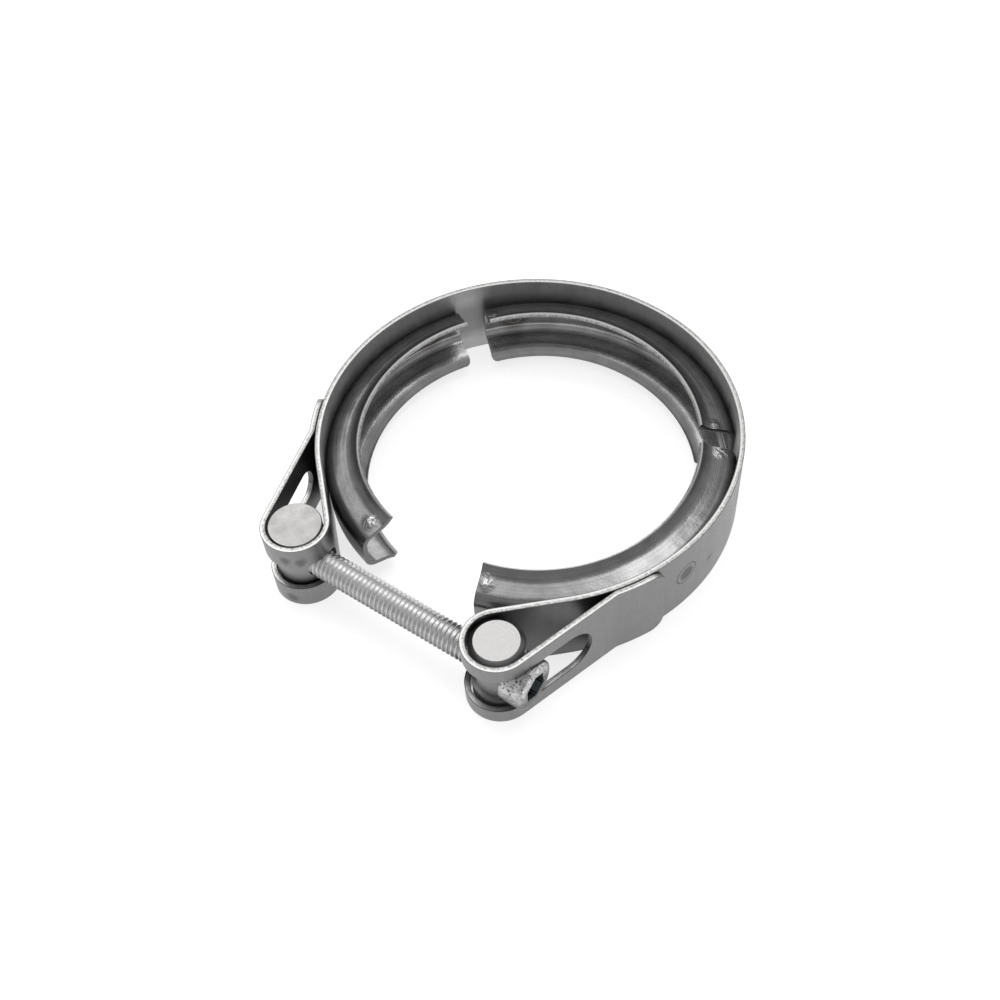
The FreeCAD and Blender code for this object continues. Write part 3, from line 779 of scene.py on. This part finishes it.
def bendOf(corner, before, after, cut, radius):
    # round corner between two directions
    start, turn = corner - before * cut, before.angle(after)
    side = (after - before * before.dot(after)).normalized()
    count = max(4, round(turn * radius / segment["bendStep"]))
    turns = [turn * i / count for i in range(count + 1)]
    return [start + before * radius * math.sin(a) + side * radius * (1 - math.cos(a)) for a in turns]


upper = bendOf(shoulderPoint, Vector((0, 0, 1)), legWay, shoulderCut, segment["shoulder"])
upper += lineOf(upper[-1], knee - legWay * kneeCut)[1:-1]
upper += bendOf(knee, legWay, lipWay, kneeCut, segment["lipBend"])
upper += lineOf(upper[-1], knee + lipWay * segment["lipLength"])[1:]
lower = [Vector((0, p.y, -p.z)) for p in reversed(upper)]
section = withoutRepeats(lower + lineOf(lower[-1], upper[0]) + upper)
sectionHalf = runLengths(section)[-1] / 2

tree, given = startTree("rollSection", {
    "Section": "Object", "Start": "Float", "Radius": "Float", "Half Width": "Float",
    "First Weld": "Float", "Last Weld": "Float", "Spring": "Float"})
kept, parts = keepFlat(tree, given["Geometry"])
guide = addNode(tree, "GeometryNodeObjectInfo", {"Object": given["Section"]})
run = addNode(tree, "ShaderNodeMath", [parts.outputs["Z"], given["Half Width"]], operation="ADD")
there = addNode(tree, "GeometryNodeSampleCurve", {
    "Curves": guide.outputs["Geometry"], "Length": run}, mode="LENGTH")
side = addNode(tree, "ShaderNodeVectorMath", [there.outputs["Tangent"], (1, 0, 0)],
               operation="CROSS_PRODUCT")
offset = addNode(tree, "ShaderNodeVectorMath", {0: side, "Scale": parts.outputs["Y"]}, operation="SCALE")
formed = addNode(tree, "ShaderNodeVectorMath", [there.outputs["Position"], offset], operation="ADD")
turn = addNode(tree, "ShaderNodeMath", [parts.outputs["X"], given["Radius"]], operation="DIVIDE")
turn = addNode(tree, "ShaderNodeMath", [turn, given["Start"]], operation="ADD")
before = addNode(tree, "ShaderNodeMath", [given["First Weld"], turn], operation="SUBTRACT")
after = addNode(tree, "ShaderNodeMath", [turn, given["Last Weld"]], operation="SUBTRACT")
free = addNode(tree, "ShaderNodeMath", [before, after], operation="MAXIMUM")
free = addNode(tree, "ShaderNodeMath", [free, 0.0], operation="MAXIMUM")
free = addNode(tree, "ShaderNodeMath", [free, 2.0], operation="POWER")
free = addNode(tree, "ShaderNodeMath", [free, given["Spring"]], operation="MULTIPLY")
inwards = addNode(tree, "ShaderNodeCombineXYZ", {"Y": free})
formed = addNode(tree, "ShaderNodeVectorMath", [formed, inwards], operation="ADD")
rolled = addNode(tree, "ShaderNodeVectorRotate", {"Vector": formed, "Angle": turn}, rotation_type="Z_AXIS")
bent = addNode(tree, "GeometryNodeSetPosition", {"Geometry": kept, "Position": rolled})
endTree(tree, bent, rollFormed, edges["rolledEdge"])

sectionGuide = guideCurve("sectionGuide", section)
for name, (first, last, firstWeld, lastWeld) in segments.items():
    arcLength = math.radians(last - first) * crownRadius
    corner = segment["lipCorner"]
    steps = segment["cornerSteps"]
    runs = [corner * (1 - math.cos(math.radians(90 * i / steps))) for i in range(steps + 1)]
    count = round((arcLength - 2 * corner) / segment["step"])
    runs += [corner + (arcLength - 2 * corner) * i / count for i in range(1, count)]
    runs += [arcLength - r for r in reversed(runs[:steps + 1])]
    rows = []
    for run in runs:
        short = max(0.0, corner - min(run, arcLength - run))
        low = -sectionHalf + corner - math.sqrt(max(0.0, corner ** 2 - short ** 2))
        rows.append((run, [(low, sectionHalf)]))
    blank = cutBlank(name, rows, segment["thickness"], segment["columns"], segment["edgeRound"])
    piece = shapeWith(tree, "vSegment_" + name, blank, {
        "Section": sectionGuide, "Start": math.radians(first), "Radius": crownRadius * mm,
        "Half Width": sectionHalf * mm, "First Weld": math.radians(firstWeld),
        "Last Weld": math.radians(lastWeld),
        "Spring": segment["spring"] * mm / math.radians(segment["springArc"]) ** 2})
    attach(piece, "band")
    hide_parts("v_segment_" + name)
bpy.data.objects.remove(sectionGuide)
print("segments rolled")


screw = {
    "shank": 3.0, "pitch": 1.0, "crest": 2.98, "root": 2.4, "tipChamfer": 0.6,
    "flank": (0.06, 0.44),          # shares of the pitch from a crest's middle
    "turnSteps": 36, "profileSteps": 11, "overlap": 0.2, "drawnIn": (0.15, 0.3), "sharp": 0.7,
    "headHeight": 5.0, "underRound": 0.3, "headRound": 1.1, "headDrop": 0.6, "faceReach": 3.3,
    "hex": 5.0, "hexDepth": 2.6, "hexLead": (0.12, 1.05), "hexFloor": (0.15, 0.9), "drillTip": (0.9, 0.1),
    "around": 96, "cornerSteps": 6,
}
tipX, topX = screwLow.x, screwHigh.x
underX = topX - screw["headHeight"]
headRadius = (screwHigh.z - screwLow.z) / 2


def hexReach(a):
    # distance to a hexagon's side at angle a
    return screw["hex"] / 2 / math.cos((a + math.pi / 6) % (math.pi / 3) - math.pi / 6)


def headLoops():
    # (x, radius or None for the hexagon, share of the hexagon) from the shank outwards and into the socket
    under, rim, drop = screw["underRound"], screw["headRound"], screw["headDrop"]
    halfway = under * 0.3       # the small round under the head is drawn with one point between its ends
    loops = [(underX, screw["crest"] - 0.08, 0), (underX, headRadius - under, 0),
             (underX + halfway, headRadius - halfway, 0), (underX + under, headRadius, 0)]
    for i in range(screw["cornerSteps"] + 1):
        a = math.radians(90 * i / screw["cornerSteps"])
        loops.append((topX - rim * drop * (1 - math.sin(a)), headRadius - rim * (1 - math.cos(a)), 0))
    floorX = topX - screw["hexDepth"]
    loops += [(topX, screw["faceReach"], 0), (topX, None, screw["hexLead"][1]),
              (topX - screw["hexLead"][0], None, 1.0), (floorX, None, 1.0),
              (floorX - screw["hexFloor"][0], None, screw["hexFloor"][1]),
              (floorX - screw["drillTip"][0], None, screw["drillTip"][1])]
    return loops


head = bmesh.new()
angles = [2 * math.pi * i / screw["around"] for i in range(screw["around"])]
loops = []
for x, radius, share in headLoops():
    reaches = [radius or share * hexReach(a) for a in angles]
    loops.append([head.verts.new(Vector((x, screwY + reach * math.cos(a), reach * math.sin(a))) * mm)
                  for reach, a in zip(reaches, angles)])
for here, there in zip(loops, loops[1:]):
    for i in range(len(angles)):
        j = (i + 1) % len(angles)
        head.faces.new((here[i], here[j], there[j], there[i]))
head.faces.new(loops[0])
head.faces.new(loops[-1])
bmesh.ops.recalc_face_normals(head, faces=head.faces[:])
headMesh = bpy.data.meshes.new("screwHead")
head.to_mesh(headMesh)
head.free()
headMesh.polygons.foreach_set("use_smooth", [True] * len(headMesh.polygons))

# one grid wound up as a helix: along it the turns, across it the thread's profile
tree, given = startTree("cutThread", {
    "Turns": "Float", "Steps": "Int", "Pitch": "Float", "Tip": "Float", "Under Head": "Float",
    "Axis": "Float", "Crest": "Float", "Root": "Float", "Tip Radius": "Float"})
strip = addNode(tree, "GeometryNodeMeshGrid", {
    "Size X": 1.0, "Size Y": 1.0, "Vertices X": given["Steps"], "Vertices Y": screw["profileSteps"]})
spot = addNode(tree, "ShaderNodeSeparateXYZ", [addNode(tree, "GeometryNodeInputPosition").outputs[0]])
share = addNode(tree, "ShaderNodeMath", [spot.outputs["X"], 0.5], operation="ADD")
turns = addNode(tree, "ShaderNodeMath", [share, given["Turns"], -1.0], operation="MULTIPLY_ADD")
angle = addNode(tree, "ShaderNodeMath", [turns, 2 * math.pi], operation="MULTIPLY")
length = addNode(tree, "ShaderNodeMath", [turns, spot.outputs["Y"]], operation="ADD")
length = addNode(tree, "ShaderNodeMath", [length, 0.5], operation="SUBTRACT")
length = addNode(tree, "ShaderNodeMath", [length, given["Pitch"]], operation="MULTIPLY")
x = addNode(tree, "ShaderNodeMath", [length, given["Tip"]], operation="ADD")
shortBy = addNode(tree, "ShaderNodeMath", [given["Tip"], x], operation="SUBTRACT")
longBy = addNode(tree, "ShaderNodeMath", [x, given["Under Head"]], operation="SUBTRACT")
beyond = addNode(tree, "ShaderNodeMath", [shortBy, longBy], operation="MAXIMUM")
x = addNode(tree, "ShaderNodeMath", [x, given["Tip"]], operation="MAXIMUM")
x = addNode(tree, "ShaderNodeMath", [x, given["Under Head"]], operation="MINIMUM")
flank = addNode(tree, "ShaderNodeMath", [spot.outputs["Y"]], operation="ABSOLUTE")
radius = addNode(tree, "ShaderNodeMapRange", {
    "Value": flank, "From Min": screw["flank"][0], "From Max": screw["flank"][1],
    "To Min": given["Crest"], "To Max": given["Root"]})
cone = addNode(tree, "ShaderNodeMath", [x, given["Tip"]], operation="SUBTRACT")
cone = addNode(tree, "ShaderNodeMath", [cone, given["Tip Radius"]], operation="ADD")
radius = addNode(tree, "ShaderNodeMath", [radius, cone], operation="MINIMUM")
inside = addNode(tree, "ShaderNodeMapRange", {  # both ends are drawn in to the axis and so closed
    "Value": beyond, "From Min": screw["drawnIn"][0] * mm,
    "From Max": screw["drawnIn"][1] * mm, "To Min": 1.0, "To Max": 0.0})
radius = addNode(tree, "ShaderNodeMath", [radius, inside], operation="MULTIPLY")
cosine = addNode(tree, "ShaderNodeMath", [angle], operation="COSINE")
sine = addNode(tree, "ShaderNodeMath", [angle], operation="SINE")
y = addNode(tree, "ShaderNodeMath", [cosine, radius, given["Axis"]], operation="MULTIPLY_ADD")
z = addNode(tree, "ShaderNodeMath", [sine, radius], operation="MULTIPLY")
place = addNode(tree, "ShaderNodeCombineXYZ", {"X": x, "Y": y, "Z": z})
wound = addNode(tree, "GeometryNodeSetPosition", {"Geometry": strip.outputs["Mesh"], "Position": place})
closed = addNode(tree, "GeometryNodeMergeByDistance", {"Geometry": wound, "Distance": 1e-6})
smooth = addNode(tree, "GeometryNodeSetShadeSmooth", {"Geometry": closed})
fold = addNode(tree, "GeometryNodeInputMeshEdgeAngle")
fold = addNode(tree, "ShaderNodeMath", [fold, screw["sharp"]], operation="GREATER_THAN")
smooth = addNode(tree, "GeometryNodeSetShadeSmooth", {
    "Geometry": smooth, "Selection": fold, "Shade Smooth": False}, domain="EDGE")
joined = addNode(tree, "GeometryNodeJoinGeometry")
tree.links.new(given["Geometry"], joined.inputs[0])
tree.links.new(smooth.outputs[0], joined.inputs[0])
endTree(tree, joined, zincPlate)

turnCount = (underX - tipX) / screw["pitch"] + 3        # one turn before the tip and two past the head
capScrew = shapeWith(tree, "capScrew", headMesh, {
    "Turns": turnCount, "Steps": round(turnCount * screw["turnSteps"]) + 1, "Pitch": screw["pitch"] * mm,
    "Tip": tipX * mm, "Under Head": (underX + screw["overlap"]) * mm, "Axis": screwY * mm,
    "Crest": screw["crest"] * mm, "Root": screw["root"] * mm,
    "Tip Radius": (screw["shank"] - screw["tipChamfer"]) * mm})
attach(capScrew, "screw")
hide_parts("clamp_screw")
print("screw threaded")


# the trunnions keep their own solids
for nodeName in ("nut_trunnion", "seat_trunnion"):
    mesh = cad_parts[nodeName].data
    mesh.materials.clear()
    mesh.materials.append(turnedBar)
print("trunnions dressed")
